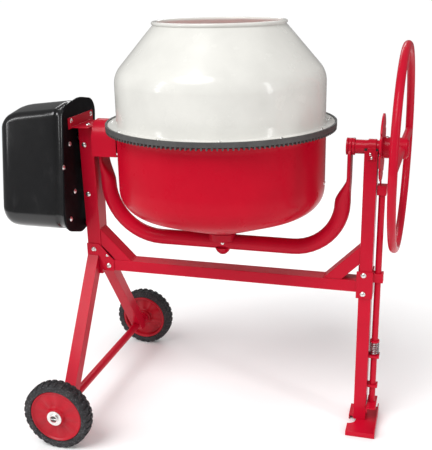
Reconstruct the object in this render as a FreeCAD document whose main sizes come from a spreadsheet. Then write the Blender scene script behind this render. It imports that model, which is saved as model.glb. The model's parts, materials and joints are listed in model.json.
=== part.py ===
import FreeCAD, Part
import math
import os

import Sketcher
from FreeCAD import Placement, Rotation, Vector

# Tilting-drum concrete mixer. X runs from the motor side to the operator side, Y from front to
# back, Z up. The floor is Z = 0. Every sub-part is drawn about the drum's axis and then moved by
# axis_x, so that the whole machine is centred on the origin.

DIMENSIONS = (
    # whole machine
    ("axis_x", 71.5),          # drum axis from the machine's centre
    ("tilt_z", 828),           # trunnion axis above the floor
    # drum
    ("drum_radius", 291),      # outside of the lower drum
    ("cone_radius", 289),      # outside of the upper drum
    ("sheet", 3),              # drum steel
    ("floor_radius", 120),     # flat middle of the drum's floor
    ("floor_z", 592),          # underside of the drum's floor
    ("pan_corner_z", 657),     # where the floor's cone would meet the wall
    ("pan_rounding", 67),
    ("seam_z", 883),           # top of the lower drum's flange
    ("seal", 1),               # rubber between the two flanges
    ("flange_radius", 314),
    ("shoulder_z", 1021),      # where the upper wall would meet the cone
    ("shoulder_rounding", 70),
    ("mouth_radius", 178),     # middle of the rolled rim
    ("mouth_z", 1150),
    ("rim_bead", 5),           # radius of the rolled rim
    # crown gear and pinion
    ("gear_radius", 320),      # outside of the crown gear
    ("gear_inner", 299),       # inner end of its teeth
    ("gear_teeth", 154),
    ("pinion_teeth", 22),
    ("tooth_pitch_z", 872),    # pitch plane of the crown teeth
    ("tooth_up", 4),           # from the pitch plane to the root
    ("tooth_down", 3.5),       # from the pitch plane to the tip
    ("lip_top", 889),
    ("pinion_tip", 47.2),
    ("pinion_root", 39.5),
    ("pinion_left", -317),
    ("pinion_width", 18),
    # cradle
    ("yoke_tube", 22.4),       # outer radius of the bent tube
    ("yoke_wall", 3),
    ("yoke_z", 532),           # axis of the yoke's level part
    ("yoke_left", 350),
    ("yoke_right", 344),
    ("left_bend", 162),
    ("right_bend", 138),
    ("ear_x", 360),            # middle of each flattened end
    ("ear_half", 5),
    ("ear_wide", 31),
    ("right_trunnion", 19),    # outer radius
    ("left_trunnion", 21),
    ("left_trunnion_bore", 17.5),
    ("running", 0.06),         # radial clearance of a running fit
    ("disc_radius", 90),       # notched lock disc
    ("disc_left", 441),
    ("disc_thick", 5),
    ("wheel_ring", 266),       # handwheel ring, to the middle of its tube
    ("wheel_tube", 11),
    ("wheel_x", 494),
    ("hub_radius", 28),
    # frame
    ("drive_left", -421),      # drive column
    ("drive_right", -378),
    ("drive_top", 862),
    ("drive_bottom", 405),
    ("column_left", 399),      # operator column
    ("column_right", 434),
    ("column_top", 822),
    ("half_depth", 25),        # half of the columns' and the beam's depth
    ("drive_half_top", 34),
    ("beam_low", 419),
    ("beam_high", 453),
    ("wall", 2.5),             # tube walls
    ("leg_size", 35),
    ("leg_top_z", 435),
    ("leg_spread", 272),
    ("brace_width", 36),
    # wheels
    ("axle_x", -394),
    ("tyre_radius", 100),
    ("disc_wheel_radius", 77),
    ("tyre_width", 42),
    ("half_track", 342),
    ("journal", 10),
    ("axle_radius", 12.5),
    # foot
    ("foot_left", 384),
    ("foot_right", 467),
    ("foot_front", -95),
    ("foot_back", 60),
    ("foot_height", 15),
    # tilt lock
    ("rod_x", 449),
    ("rod_radius", 9),
    # drive unit
    ("plate_x", -432),         # right face of the back plate
    ("plate_thick", 4),
    ("cover_left", -655),
    ("motor_y", -50),
    ("motor_z", 640),
    ("big_pulley", 78),
    ("small_pulley", 12),
    ("belt_left", -490),
    ("belt_width", 22),
    ("shaft_radius", 8.5),
)

doc = FreeCAD.newDocument("concrete_mixer")
sheet = doc.addObject("Spreadsheet::Sheet", "dims")
for row, (alias, number) in enumerate(DIMENSIONS, start=1):
    sheet.set("A%d" % row, alias)
    sheet.set("B%d" % row, str(number))
    sheet.setAlias("B%d" % row, alias)
doc.recompute()


class Size:
    """A length that knows its value and the sheet expression that gives it."""

    def __init__(self, value, text):
        self.value = value
        self.text = text

    def __add__(self, other):
        other = as_size(other)
        return Size(self.value + other.value, "(%s + %s)" % (self.text, other.text))

    def __sub__(self, other):
        other = as_size(other)
        return Size(self.value - other.value, "(%s - %s)" % (self.text, other.text))

    def __mul__(self, other):
        other = as_size(other)
        return Size(self.value * other.value, "(%s * %s)" % (self.text, other.text))

    def __truediv__(self, other):
        other = as_size(other)
        return Size(self.value / other.value, "(%s / %s)" % (self.text, other.text))

    def __neg__(self):
        return Size(-self.value, "(0 - %s)" % self.text)

    def __radd__(self, other):
        return as_size(other) + self

    def __rsub__(self, other):
        return as_size(other) - self

    def __rmul__(self, other):
        return as_size(other) * self


def as_size(item):
    if isinstance(item, Size):
        return item
    return Size(float(item), "%.6f" % item if item >= 0 else "(0 - %.6f)" % -item)


class Driving:
    """The sheet's cells, each as a Size under its alias."""


dim = Driving()
for alias, number in DIMENSIONS:
    setattr(dim, alias, Size(float(sheet.get(alias)), "dims." + alias))

nodes = []
TO_X = Rotation(Vector(0, 1, 0), 90)
TO_Y = Rotation(Vector(1, 0, 0), -90)
TURNS = {"x": TO_X, "y": TO_Y, "z": Rotation()}


# ---------------------------------------------------------------- building blocks

def place(item, x, y, z, turn=None):
    """Put an object at a bound position."""
    spot = [as_size(x), as_size(y), as_size(z)]
    item.Placement = Placement(Vector(*[s.value for s in spot]), turn or Rotation())
    for axis, size in zip("xyz", spot):
        item.setExpression("Placement.Base." + axis, size.text)
    return item


def bind(item, **sizes):
    """Bind properties of an object to the sheet."""
    for name, size in sizes.items():
        item.setExpression(name, as_size(size).text)
    return item


def box(name, low, high):
    item = doc.addObject("Part::Box", name)
    low = [as_size(v) for v in low]
    high = [as_size(v) for v in high]
    bind(item, Length=high[0] - low[0], Width=high[1] - low[1], Height=high[2] - low[2])
    return place(item, *low)


def rod(name, radius, length, start, axis="z"):
    item = doc.addObject("Part::Cylinder", name)
    bind(item, Radius=radius, Height=length)
    return place(item, *start, turn=TURNS[axis])


def cut(name, base, *tools):
    item = doc.addObject("Part::Cut", name)
    item.Base = base
    item.Tool = tools[0] if len(tools) == 1 else fuse(name + "_tools", *tools)
    return item


def fuse(name, *items):
    item = doc.addObject("Part::MultiFuse", name)
    item.Shapes = list(items)
    return item


def common(name, first, second):
    item = doc.addObject("Part::Common", name)
    item.Base = first
    item.Tool = second
    return item


def group(name, *items):
    item = doc.addObject("Part::Compound", name)
    item.Links = list(items)
    return item


def ring(name, outer, inner, length, start, axis="z"):
    """A plain tube."""
    start = [as_size(v) for v in start]
    extra = {"x": (1, 0, 0), "y": (0, 1, 0), "z": (0, 0, 1)}[axis]
    before = [s - e for s, e in zip(start, extra)]
    body = rod(name + "_outside", outer, length, start, axis)
    hole = rod(name + "_bore", inner, as_size(length) + 2, before, axis)
    return cut(name, body, hole)


def node(item, x=None, y=0, z=0, turn=None):
    """Register a finished sub-part: its Label is its node's name."""
    item.Label = item.Name
    place(item, dim.axis_x if x is None else dim.axis_x + x, y, z, turn)
    nodes.append(item)
    return item


def new_body(name):
    return doc.addObject("PartDesign::Body", name)


def sketch_on(body, name, role):
    sketch = body.newObject("Sketcher::SketchObject", name)
    plane = [f for f in body.Origin.OriginFeatures if f.Role == role][0]
    sketch.AttachmentSupport = [(plane, "")]
    sketch.MapMode = "FlatFace"
    return sketch


def pin_point(sketch, geometry, end, x, y, tag):
    """Fix one point of a sketch at bound coordinates."""
    for kind, size, axis in (("DistanceX", x, -2), ("DistanceY", y, -1)):
        if size.value == 0:
            sketch.addConstraint(Sketcher.Constraint("PointOnObject", geometry, end, axis))
            continue
        number = sketch.addConstraint(
            Sketcher.Constraint(kind, -1, 1, geometry, end, size.value))
        name = "%s_%s" % (tag, kind)
        sketch.renameConstraint(number, name)
        sketch.setExpression("Constraints." + name, size.text)


def bind_radius(sketch, geometry, size, tag):
    number = sketch.addConstraint(Sketcher.Constraint("Radius", geometry, size.value))
    name = tag + "_radius"
    sketch.renameConstraint(number, name)
    sketch.setExpression("Constraints." + name, size.text)


def circle(sketch, x, y, radius, tag="circle"):
    x, y, radius = as_size(x), as_size(y), as_size(radius)
    centre = Vector(x.value, y.value, 0)
    shape = Part.Circle(centre, Vector(0, 0, 1), radius.value)
    number = sketch.addGeometry(shape, False)
    pin_point(sketch, number, 3, x, y, tag)
    bind_radius(sketch, number, radius, tag)


def outline(sketch, corners, tag="edge"):
    """Draw a closed outline. A corner is (across, up) or (across, up, rounding)."""
    sizes = [tuple(as_size(v) for v in corner) for corner in corners]
    points = [Vector(c[0].value, c[1].value, 0) for c in sizes]
    count = len(points)
    arrive, leave = [], []
    for i, corner in enumerate(sizes):
        back = (points[i - 1] - points[i]).normalize()
        ahead = (points[(i + 1) % count] - points[i]).normalize()
        half = math.acos(max(-1, min(1, back.dot(ahead)))) / 2
        reach = corner[2].value / math.tan(half) if len(corner) > 2 else 0
        arrive.append(points[i] + back * reach)
        leave.append(points[i] + ahead * reach)
    lines = []
    for i in range(count):
        line = Part.LineSegment(leave[i], arrive[(i + 1) % count])
        lines.append(sketch.addGeometry(line, False))
    for i, corner in enumerate(sizes):
        before, after, name = lines[i - 1], lines[i], "%s%d" % (tag, i)
        if len(corner) == 2:
            sketch.addConstraint(Sketcher.Constraint("Coincident", before, 2, after, 1))
            pin_point(sketch, after, 1, corner[0], corner[1], name)
            continue
        add_rounding(sketch, points[i], arrive[i], leave[i], before, after, corner, name)


def add_rounding(sketch, corner_point, first, last, before, after, corner, name):
    """Join two lines of an outline with a tangent arc."""
    turn = (first - corner_point).cross(last - corner_point).z
    middle = (first + last) * 0.5
    inward = (middle - corner_point).normalize()
    half = math.asin(min(1, (first - middle).Length / corner[2].value))
    centre = middle + inward * (corner[2].value * math.cos(half))
    start, end = (first, last) if turn < 0 else (last, first)
    a = math.atan2(start.y - centre.y, start.x - centre.x)
    b = math.atan2(end.y - centre.y, end.x - centre.x)
    base = Part.Circle(centre, Vector(0, 0, 1), corner[2].value)
    arc = sketch.addGeometry(Part.ArcOfCircle(base, a, b), False)
    first_end, last_end = (1, 2) if turn < 0 else (2, 1)
    sketch.addConstraint(Sketcher.Constraint("Tangent", before, 2, arc, first_end))
    sketch.addConstraint(Sketcher.Constraint("Tangent", after, 1, arc, last_end))
    bind_radius(sketch, arc, corner[2], name)
    mark = sketch.addGeometry(Part.Point(corner_point), True)
    sketch.addConstraint(Sketcher.Constraint("PointOnObject", mark, 1, before))
    sketch.addConstraint(Sketcher.Constraint("PointOnObject", mark, 1, after))
    pin_point(sketch, mark, 1, corner[0], corner[1], name)


def revolved(name, corners, about="V_Axis"):
    """A solid of revolution from an outline in the XZ plane."""
    body = new_body(name)
    sketch = sketch_on(body, name + "_profile", "XZ_Plane")
    outline(sketch, corners)
    turned = body.newObject("PartDesign::Revolution", name + "_turned")
    turned.Profile = sketch
    turned.ReferenceAxis = (sketch, [about])
    turned.Angle = 360
    return body


def padded(name, role, corners, thickness, holes=()):
    """A flat plate. Its holes are (across, up, radius)."""
    body = new_body(name)
    sketch = sketch_on(body, name + "_outline", role)
    outline(sketch, corners)
    for i, (x, y, radius) in enumerate(holes):
        circle(sketch, x, y, radius, "hole%d" % i)
    pad = body.newObject("PartDesign::Pad", name + "_pad")
    pad.Profile = sketch
    bind(pad, Length=thickness)
    return body


def square_tube(name, low, high, wall, along):
    """A rectangular tube, open at both ends, that runs along one axis."""
    low = [as_size(v) for v in low]
    high = [as_size(v) for v in high]
    inner_low, inner_high = [], []
    for axis, a, b in zip("xyz", low, high):
        inner_low.append(a - 1 if axis == along else a + wall)
        inner_high.append(b + 1 if axis == along else b - wall)
    outside = box(name + "_outside", low, high)
    return cut(name, outside, box(name + "_inside", inner_low, inner_high))


HEAD_BASE = 30


def dome_bolt(name, spot, facing, radius=8.0):
    """A round bolt head: spot is where it meets the surface, facing is the way it looks."""
    head = doc.addObject("Part::Sphere", name)
    ball = radius / math.cos(math.radians(HEAD_BASE))
    bind(head, Radius=ball)
    head.Angle1 = HEAD_BASE
    drop = ball * math.sin(math.radians(HEAD_BASE))
    turn = {"-y": Rotation(Vector(1, 0, 0), 90), "+y": TO_Y, "+x": TO_X,
            "-x": Rotation(Vector(0, 1, 0), -90), "+z": Rotation(),
            "-z": Rotation(Vector(1, 0, 0), 180)}[facing]
    out = turn.multVec(Vector(0, 0, 1))
    return place(head, *[as_size(v) - drop * c for v, c in zip(spot, out)], turn=turn)


def drill(name, spot, axis, radius, length):
    """A cylinder that cuts a hole, centred on its spot."""
    spot = [as_size(v) for v in spot]
    step = {"x": (1, 0, 0), "y": (0, 1, 0), "z": (0, 0, 1)}[axis]
    start = [s - length / 2 * e for s, e in zip(spot, step)]
    return rod(name, radius, length, start, axis)


# ---------------------------------------------------------------- drum

def build_drum():
    t = dim.sheet
    wall = dim.drum_radius
    node(revolved("lower_drum", (
        (0, dim.floor_z), (dim.floor_radius, dim.floor_z),
        (wall, dim.pan_corner_z, dim.pan_rounding),
        (wall, dim.seam_z - t), (dim.flange_radius, dim.seam_z - t),
        (dim.flange_radius, dim.seam_z), (wall - t, dim.seam_z),
        (wall - t, dim.pan_corner_z + t, dim.pan_rounding - t),
        (dim.floor_radius, dim.floor_z + t), (0, dim.floor_z + t))))
    side, low = dim.cone_radius, dim.seam_z + dim.seal
    body = revolved("upper_drum", (
        (side - t, low), (dim.flange_radius, low), (dim.flange_radius, low + t), (side, low + t),
        (side, dim.shoulder_z, dim.shoulder_rounding),
        (dim.mouth_radius + 1.5, dim.mouth_z), (dim.mouth_radius - 1.5, dim.mouth_z),
        (side - t, dim.shoulder_z - 1.2, dim.shoulder_rounding - t)))
    bead = sketch_on(body, "rolled_rim_section", "XZ_Plane")
    circle(bead, dim.mouth_radius, dim.mouth_z + 2, dim.rim_bead, "bead")
    rim = body.newObject("PartDesign::Revolution", "rolled_rim")
    rim.Profile = bead
    rim.ReferenceAxis = (bead, ["V_Axis"])
    rim.Angle = 360
    node(body)
    node(ring("drum_seal", dim.flange_radius - 1, wall, dim.seal, (0, 0, dim.seam_z)))
    build_crown_gear()
    shaft = revolved("drum_shaft", (
        (0, 512), (12.5, 512), (12.5, 586), (22, 586), (75, 586), (75, dim.floor_z),
        (0, dim.floor_z)))
    node(shaft)
    build_blades()


def build_crown_gear():
    """Two cast half rings with teeth on their undersides."""
    outer, inner = dim.gear_radius.value, dim.gear_inner.value
    root = dim.tooth_pitch_z.value + dim.tooth_up.value
    tip = dim.tooth_pitch_z.value - dim.tooth_down.value
    seat = dim.seam_z.value - dim.sheet.value
    lip = dim.flange_radius.value + 0.3
    section = Part.makePolygon([
        Vector(dim.drum_radius.value + 0.5, 0, root), Vector(outer, 0, root),
        Vector(outer, 0, dim.lip_top.value), Vector(lip, 0, dim.lip_top.value),
        Vector(lip, 0, seat), Vector(dim.drum_radius.value + 0.5, 0, seat),
        Vector(dim.drum_radius.value + 0.5, 0, root)])
    teeth = int(dim.gear_teeth.value)
    pitch = 360.0 / teeth
    root_half, tip_half = 2.6, 1.7
    flank = Part.Face(Part.makePolygon([
        Vector(inner, -root_half, root + 0.5), Vector(inner, root_half, root + 0.5),
        Vector(inner, tip_half, tip), Vector(inner, -tip_half, tip),
        Vector(inner, -root_half, root + 0.5)]))
    tooth = flank.extrude(Vector(outer - inner - 0.6, 0, 0))
    up = Vector(0, 0, 1)
    halves = []
    for half in range(2):
        arc = Part.Face(section).revolve(Vector(), up, 180 - 0.12)
        arc.rotate(Vector(), up, half * 180 + 0.06)
        mine = []
        for number in range(half * teeth // 2, (half + 1) * teeth // 2):
            copy = tooth.copy()
            copy.rotate(Vector(), up, (number + 0.5) * pitch)
            mine.append(copy)
        halves.append(arc.multiFuse(mine).removeSplitter())
    gear = doc.addObject("Part::Feature", "crown_gear")
    gear.Shape = Part.makeCompound(halves)
    node(gear)


def gear_bolts():
    top = dim.seam_z + dim.seal + dim.sheet
    bolts = []
    for number in range(12):
        angle = math.radians(number * 30 + 15)
        spot = (302.5 * math.cos(angle), 302.5 * math.sin(angle), top)
        bolts.append(dome_bolt("gear_bolt%d" % number, spot, "+z", 5.0))
    return bolts


def build_blades():
    """Two bent paddles, each bolted to the drum's wall by its foot."""
    blades, bolts = [], gear_bolts()
    for side, turn, facing in ((0, 1, "+x"), (180, -1, "-x")):
        body = padded("blade%d" % side, "XY_Plane", (
            (287, -24), (287, 24), (283, 24), (283, -16), (176, -52), (174, -56), (283, -24)), 170)
        place(body, 0, 0, 640, turn=Rotation(Vector(0, 0, 1), side))
        blades.append(body)
        spot = (turn * (dim.drum_radius - 0.1), 0, 724)
        bolts.append(dome_bolt("blade_bolt%d" % side, spot, facing, 7.0))
    node(common("mixing_blades", group("blade_pair", *blades), inside_of_drum()))
    node(group("drum_bolts", *bolts))


def inside_of_drum():
    """The space inside the lower drum, a little clear of its floor and corner."""
    gap = dim.sheet + 1
    return revolved("drum_space", (
        (0, dim.floor_z + gap), (dim.floor_radius, dim.floor_z + gap),
        (dim.drum_radius - dim.sheet, dim.pan_corner_z + gap, dim.pan_rounding - gap),
        (dim.drum_radius - dim.sheet, dim.seam_z), (0, dim.seam_z)))


# ---------------------------------------------------------------- cradle

def build_yoke():
    """A bent tube whose two ends are pressed flat around the trunnions."""
    z = dim.yoke_z
    body = new_body("yoke_bend")
    path = sketch_on(body, "yoke_path", "XZ_Plane")
    draw_yoke_path(path)
    section = sketch_on(body, "yoke_section", "XY_Plane")
    section.setExpression("AttachmentOffset.Base.z", (z + dim.left_bend).text)
    circle(section, -dim.yoke_left, 0, dim.yoke_tube, "outer")
    circle(section, -dim.yoke_left, 0, dim.yoke_tube - dim.yoke_wall, "inner")
    doc.recompute()
    pipe = body.newObject("PartDesign::AdditivePipe", "yoke_pipe")
    pipe.Profile = section
    pipe.Spine = (path, ["Edge1", "Edge2", "Edge3"])
    left = flattened_end("left_ear", -1, dim.yoke_left, z + dim.left_bend, 765,
                         dim.left_trunnion, 31)
    right = flattened_end("right_ear", 1, dim.yoke_right, z + dim.right_bend, 745,
                          dim.right_trunnion, 23)
    whole = fuse("yoke_whole", body, left, right)
    node(cut("yoke", whole, rod("yoke_sleeve_hole", 17, 80, (0, 0, z - 40))))


def draw_yoke_path(path):
    """Left bend, level run and right bend."""
    z, left, right = dim.yoke_z.value, dim.left_bend.value, dim.right_bend.value
    left_x, right_x = left - dim.yoke_left.value, dim.yoke_right.value - right
    up = Vector(0, 0, 1)
    bend = Part.Circle(Vector(left_x, z + left, 0), up, left)
    first = path.addGeometry(Part.ArcOfCircle(bend, math.pi, 1.5 * math.pi), False)
    level = path.addGeometry(Part.LineSegment(Vector(left_x, z, 0), Vector(right_x, z, 0)), False)
    bend = Part.Circle(Vector(right_x, z + right, 0), up, right)
    last = path.addGeometry(Part.ArcOfCircle(bend, 1.5 * math.pi, 2 * math.pi), False)
    pin_point(path, level, 1, dim.left_bend - dim.yoke_left, dim.yoke_z, "level_start")
    pin_point(path, level, 2, dim.yoke_right - dim.right_bend, dim.yoke_z, "level_end")
    path.addConstraint(Sketcher.Constraint("Tangent", first, 2, level, 1))
    path.addConstraint(Sketcher.Constraint("Tangent", level, 2, last, 1))
    bind_radius(path, first, dim.left_bend, "left_bend")
    bind_radius(path, last, dim.right_bend, "right_bend")
    path.addConstraint(Sketcher.Constraint("Horizontal", first, 3, first, 1))
    path.addConstraint(Sketcher.Constraint("Horizontal", last, 3, last, 2))


def flattened_end(name, side, tube_x, low, high, bore, eye_radius):
    """A tube end pressed flat, with a round eye for its trunnion."""
    high = as_size(high)
    round_end = doc.addObject("Part::Circle", name + "_round")
    bind(round_end, Radius=dim.yoke_tube)
    place(round_end, side * tube_x, 0, low, turn=Rotation(Vector(0, 0, 1), 90))
    flat_end = doc.addObject("Part::Ellipse", name + "_flat")
    bind(flat_end, MajorRadius=dim.ear_wide + 0.8, MinorRadius=dim.ear_half + 0.6)
    place(flat_end, side * dim.ear_x, 0, high, turn=Rotation(Vector(0, 0, 1), 90))
    taper = doc.addObject("Part::Loft", name + "_taper")
    taper.Sections = [round_end, flat_end]
    taper.Solid = True
    taper.Ruled = True
    low_x, high_x = side * dim.ear_x - dim.ear_half, side * dim.ear_x + dim.ear_half
    flat = box(name + "_plate", (low_x, -dim.ear_wide, high - 1),
               (high_x, dim.ear_wide, dim.tilt_z - 16))
    eye = rod(name + "_eye", eye_radius, 2 * dim.ear_half, (low_x, 0, dim.tilt_z), "x")
    solid = fuse(name + "_solid", taper, flat, eye)
    return cut(name, solid, drill(name + "_bore", (side * dim.ear_x, 0, dim.tilt_z), "x", bore, 60))


def build_trunnions():
    z = dim.tilt_z
    node(ring("left_trunnion", dim.left_trunnion, dim.left_trunnion_bore, 99, (-429, 0, z), "x"))
    node(ring("right_trunnion", dim.right_trunnion, 15, dim.disc_left - 349.5, (349.5, 0, z), "x"))
    outer_start = dim.ear_x + dim.ear_half
    outer_collar = ring("outer_collar", 23, dim.right_trunnion, 7.5, (outer_start, 0, z), "x")
    inner_collar = ring("inner_collar", 23, dim.right_trunnion, 5.5, (349.5, 0, z), "x")
    node(group("clamp_collars", inner_collar, outer_collar))


def build_pinion_guard():
    """Sheet arch over the pinion, with two side cheeks that reach under the crown gear."""
    z = dim.tilt_z
    left, arch_end, right = -374, -323.5, -298
    outer, inner = 53, 50.5
    low = z - 46
    arch = fuse("guard_outer", rod("guard_round", outer, arch_end - left, (left, 0, z), "x"),
                box("guard_sides", (left, -outer, low), (arch_end, outer, z)))
    hollow = fuse("guard_inner", rod("guard_round_in", inner, arch_end - left - 2.5,
                                     (left + 2.5, 0, z), "x"),
                  box("guard_sides_in", (left + 2.5, -inner, low - 1), (arch_end + 1, inner, z)))
    open_end = rod("guard_open", inner, 30, (arch_end - 5, 0, z), "x")
    below = box("guard_below", (left - 1, -60, z - 60), (arch_end + 1, 60, low))
    shell = cut("guard_shell", arch, fuse("guard_away", hollow, open_end, below))
    cheeks = [box("guard_cheek%d" % n, (arch_end, a, low), (right, a + 2.5, z + 36))
              for n, a in enumerate((-outer, inner))]
    feet = [box("guard_foot%d" % n, (left, a, low - 2.5), (right, a + 18, low))
            for n, a in enumerate((-outer, outer - 18))]
    whole = fuse("guard_whole", shell, *cheeks + feet)
    bore = drill("guard_bore", (left, 0, z), "x", dim.left_trunnion, 20)
    node(cut("pinion_guard", whole, bore))


def build_drum_hub():
    z = dim.yoke_z
    top = z + dim.yoke_tube
    housing = revolved("hub_body", (
        (14, 510), (17, 510), (17, top + 6), (40, top + 6), (40, 582), (26, 582), (26, 567),
        (14, 567)))
    saddle = cut("hub_saddle", rod("hub_foot", 40, 30, (0, 0, z)),
                 fuse("hub_foot_away", rod("hub_foot_tube", dim.yoke_tube, 100, (-50, 0, z), "x"),
                      rod("hub_foot_core", 16.5, 60, (0, 0, z - 10)),
                      box("hub_foot_low", (-60, -60, z - 10), (60, 60, z + 8))))
    node(fuse("drum_hub", housing, saddle))
    cap = revolved("hub_cap", (
        (0, 494), (10, 494, 5), (18, 502, 5), (25, 515.5), (17.1, 515.5), (17.1, 509.5),
        (0, 509.5)))
    node(cut("hub_end_cap", cap, rod("cap_tube", dim.yoke_tube, 100, (-50, 0, z), "x")))
    nipple = fuse("nipple_whole",
                  rod("nipple_hex", 4.5, 5, (6, -dim.yoke_tube - 4.4, z + 2), "y"),
                  rod("nipple_tip", 2.5, 10, (6, -dim.yoke_tube - 9, z + 2), "y"))
    nipple = cut("grease_nipple", nipple, rod("nipple_tube", dim.yoke_tube, 60, (-20, 0, z), "x"))
    node(group("cradle_bolts", dome_bolt("collar_bolt", (369, 0, dim.tilt_z + 22.4), "+z", 3.5),
               dome_bolt("hub_bolt", (455, 0, dim.tilt_z + dim.hub_radius - 0.6), "+z", 6),
               nipple))


def build_lock_disc():
    body = new_body("lock_disc")
    sketch = sketch_on(body, "disc_outline", "YZ_Plane")
    circle(sketch, 0, 0, dim.disc_radius, "rim")
    circle(sketch, 0, 0, dim.right_trunnion - 4, "bore")
    pad = body.newObject("PartDesign::Pad", "disc_pad")
    pad.Profile = sketch
    bind(pad, Length=dim.disc_thick)
    notch = sketch_on(body, "notch_outline", "YZ_Plane")
    outline(notch, ((-6.5, -dim.disc_radius - 3), (6.5, -dim.disc_radius - 3),
                    (6.5, -dim.disc_radius + 13, 4), (-6.5, -dim.disc_radius + 13, 4)))
    pocket = body.newObject("PartDesign::Pocket", "notch")
    pocket.Profile = notch
    pocket.Reversed = True
    bind(pocket, Length=dim.disc_thick + 1)
    pattern = body.newObject("PartDesign::PolarPattern", "notches")
    pattern.Originals = [pocket]
    pattern.Axis = (notch, ["N_Axis"])
    pattern.Angle = 240
    pattern.Occurrences = 9
    body.Tip = pattern
    turned = Rotation(Vector(1, 0, 0), -120)
    node(body, dim.disc_left, 0, dim.tilt_z, turned)


def build_handwheel():
    """The ring sits a little out of square with its hub, as welded wheels do."""
    z, x = dim.tilt_z, dim.wheel_x
    yaw = math.radians(1.5)
    turned = Rotation(Vector(0, 0, 1), -1.5)
    hub_start = dim.disc_left + dim.disc_thick
    hub = rod("hub_barrel", dim.hub_radius, 62, (hub_start, 0, z), "x")
    nose = rod("hub_nose", dim.hub_radius - 6, 4, (hub_start + 62, 0, z), "x")
    node(fuse("handwheel_hub", hub, nose))
    torus = doc.addObject("Part::Torus", "handwheel_ring")
    bind(torus, Radius1=dim.wheel_ring, Radius2=dim.wheel_tube)
    place(torus, x, 0, z, turn=turned.multiply(TO_X))
    reach = dim.wheel_ring - dim.wheel_tube + 2
    spoke = rod("spoke_bar", dim.wheel_tube, 2 * reach, (x, -reach, z), "y")
    place(spoke, x - reach * math.sin(yaw), reach * -math.cos(yaw), z,
          turn=turned.multiply(TO_Y))
    ring_copy = doc.addObject("Part::Torus", "spoke_end_shape")
    bind(ring_copy, Radius1=dim.wheel_ring, Radius2=dim.wheel_tube)
    place(ring_copy, x, 0, z, turn=turned.multiply(TO_X))
    hub_copy = rod("spoke_hub_shape", dim.hub_radius, 62, (hub_start, 0, z), "x")
    node(cut("handwheel_spokes", spoke, ring_copy, hub_copy))
    node(group("handwheel_rim", torus))


# ---------------------------------------------------------------- drive train

def build_pinion():
    z = dim.tilt_z
    left = -500
    shaft = rod("shaft_bar", dim.shaft_radius, -297 - left, (left, 0, z), "x")
    node(group("pinion_shaft", shaft))
    bearings = [ring("bearing_at%d" % n, dim.left_trunnion_bore, dim.shaft_radius + dim.running,
                     12, (start, 0, z), "x") for n, start in enumerate((-344, -428))]
    node(group("cradle_bearings", ring("drum_bearing", 26, 12.5 + dim.running, 14, (0, 0, 567.2)),
               ring("drum_bush", 14, 12.5 + dim.running, 40, (0, 0, 514)), *bearings))
    body = new_body("pinion")
    sketch = sketch_on(body, "pinion_core", "YZ_Plane")
    circle(sketch, 0, 0, dim.pinion_root, "root")
    circle(sketch, 0, 0, dim.shaft_radius, "bore")
    core = body.newObject("PartDesign::Pad", "pinion_core_pad")
    core.Profile = sketch
    bind(core, Length=dim.pinion_width)
    tooth = sketch_on(body, "tooth_outline", "YZ_Plane")
    outline(tooth, ((-3.1, dim.pinion_root - 1), (3.1, dim.pinion_root - 1),
                    (1.5, dim.pinion_tip), (-1.5, dim.pinion_tip)))
    pad = body.newObject("PartDesign::Pad", "tooth_pad")
    pad.Profile = tooth
    bind(pad, Length=dim.pinion_width)
    pattern = body.newObject("PartDesign::PolarPattern", "teeth")
    pattern.Originals = [pad]
    pattern.Axis = (tooth, ["N_Axis"])
    pattern.Angle = 360
    pattern.Occurrences = int(dim.pinion_teeth.value)
    body.Tip = pattern
    node(body, dim.pinion_left, 0, z)
    build_pulley("large_pulley", dim.big_pulley, (0, z), dim.shaft_radius, "large")


def build_pulley(name, radius, centre, bore, tag):
    """A grooved pulley: two low rims keep the belt on."""
    y, z = centre
    width = dim.belt_width
    rim = 4 if tag == "large" else 2.5
    corners = [(bore, 0), (radius + rim, 0), (radius + rim, 2), (radius, 2.5),
               (radius, width - 2.5), (radius + rim, width - 2), (radius + rim, width),
               (bore, width)]
    if tag == "large":
        corners = [(bore, -4), (22, -4), (22, 7), (radius - 10, 7), (radius - 6, 0),
                   (radius + rim, 0), (radius + rim, 2), (radius, 2.5), (radius, width - 2.5),
                   (radius + rim, width - 2), (radius + rim, width), (radius - 6, width),
                   (radius - 10, width - 7), (22, width - 7), (22, width + 4), (bore, width + 4)]
    body = revolved(name, corners)
    node(body, dim.belt_left, y, z, TO_X)


def build_belt():
    """A flat ribbed belt: two arcs joined by their common tangents."""
    top = Vector(0, 0, dim.tilt_z.value)
    low = Vector(0, dim.motor_y.value, dim.motor_z.value)
    thick = 4
    loops = [belt_loop(top, low, dim.big_pulley.value + extra, dim.small_pulley.value + extra)
             for extra in (0.1, thick)]
    face = Part.Face(loops[1]).cut(Part.Face(loops[0]))
    width = dim.belt_width.value - 6
    belt = doc.addObject("Part::Feature", "drive_belt")
    belt.Shape = face.extrude(Vector(width, 0, 0))
    node(belt, dim.belt_left + 3, 0, 0)


def belt_loop(top, low, large, small):
    across = low - top
    distance = across.Length
    heading = math.atan2(across.z, across.y)
    spread = math.acos((large - small) / distance)

    def on(centre, radius, angle):
        return centre + Vector(0, radius * math.cos(angle), radius * math.sin(angle))

    near, far = heading + spread, heading - spread
    arc_top = Part.Arc(on(top, large, near), on(top, large, heading + math.pi),
                       on(top, large, far)).toShape()
    arc_low = Part.Arc(on(low, small, far), on(low, small, heading),
                       on(low, small, near)).toShape()
    side_a = Part.LineSegment(on(top, large, far), on(low, small, far)).toShape()
    side_b = Part.LineSegment(on(low, small, near), on(top, large, near)).toShape()
    return Part.Wire([arc_top, side_a, arc_low, side_b])


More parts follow.
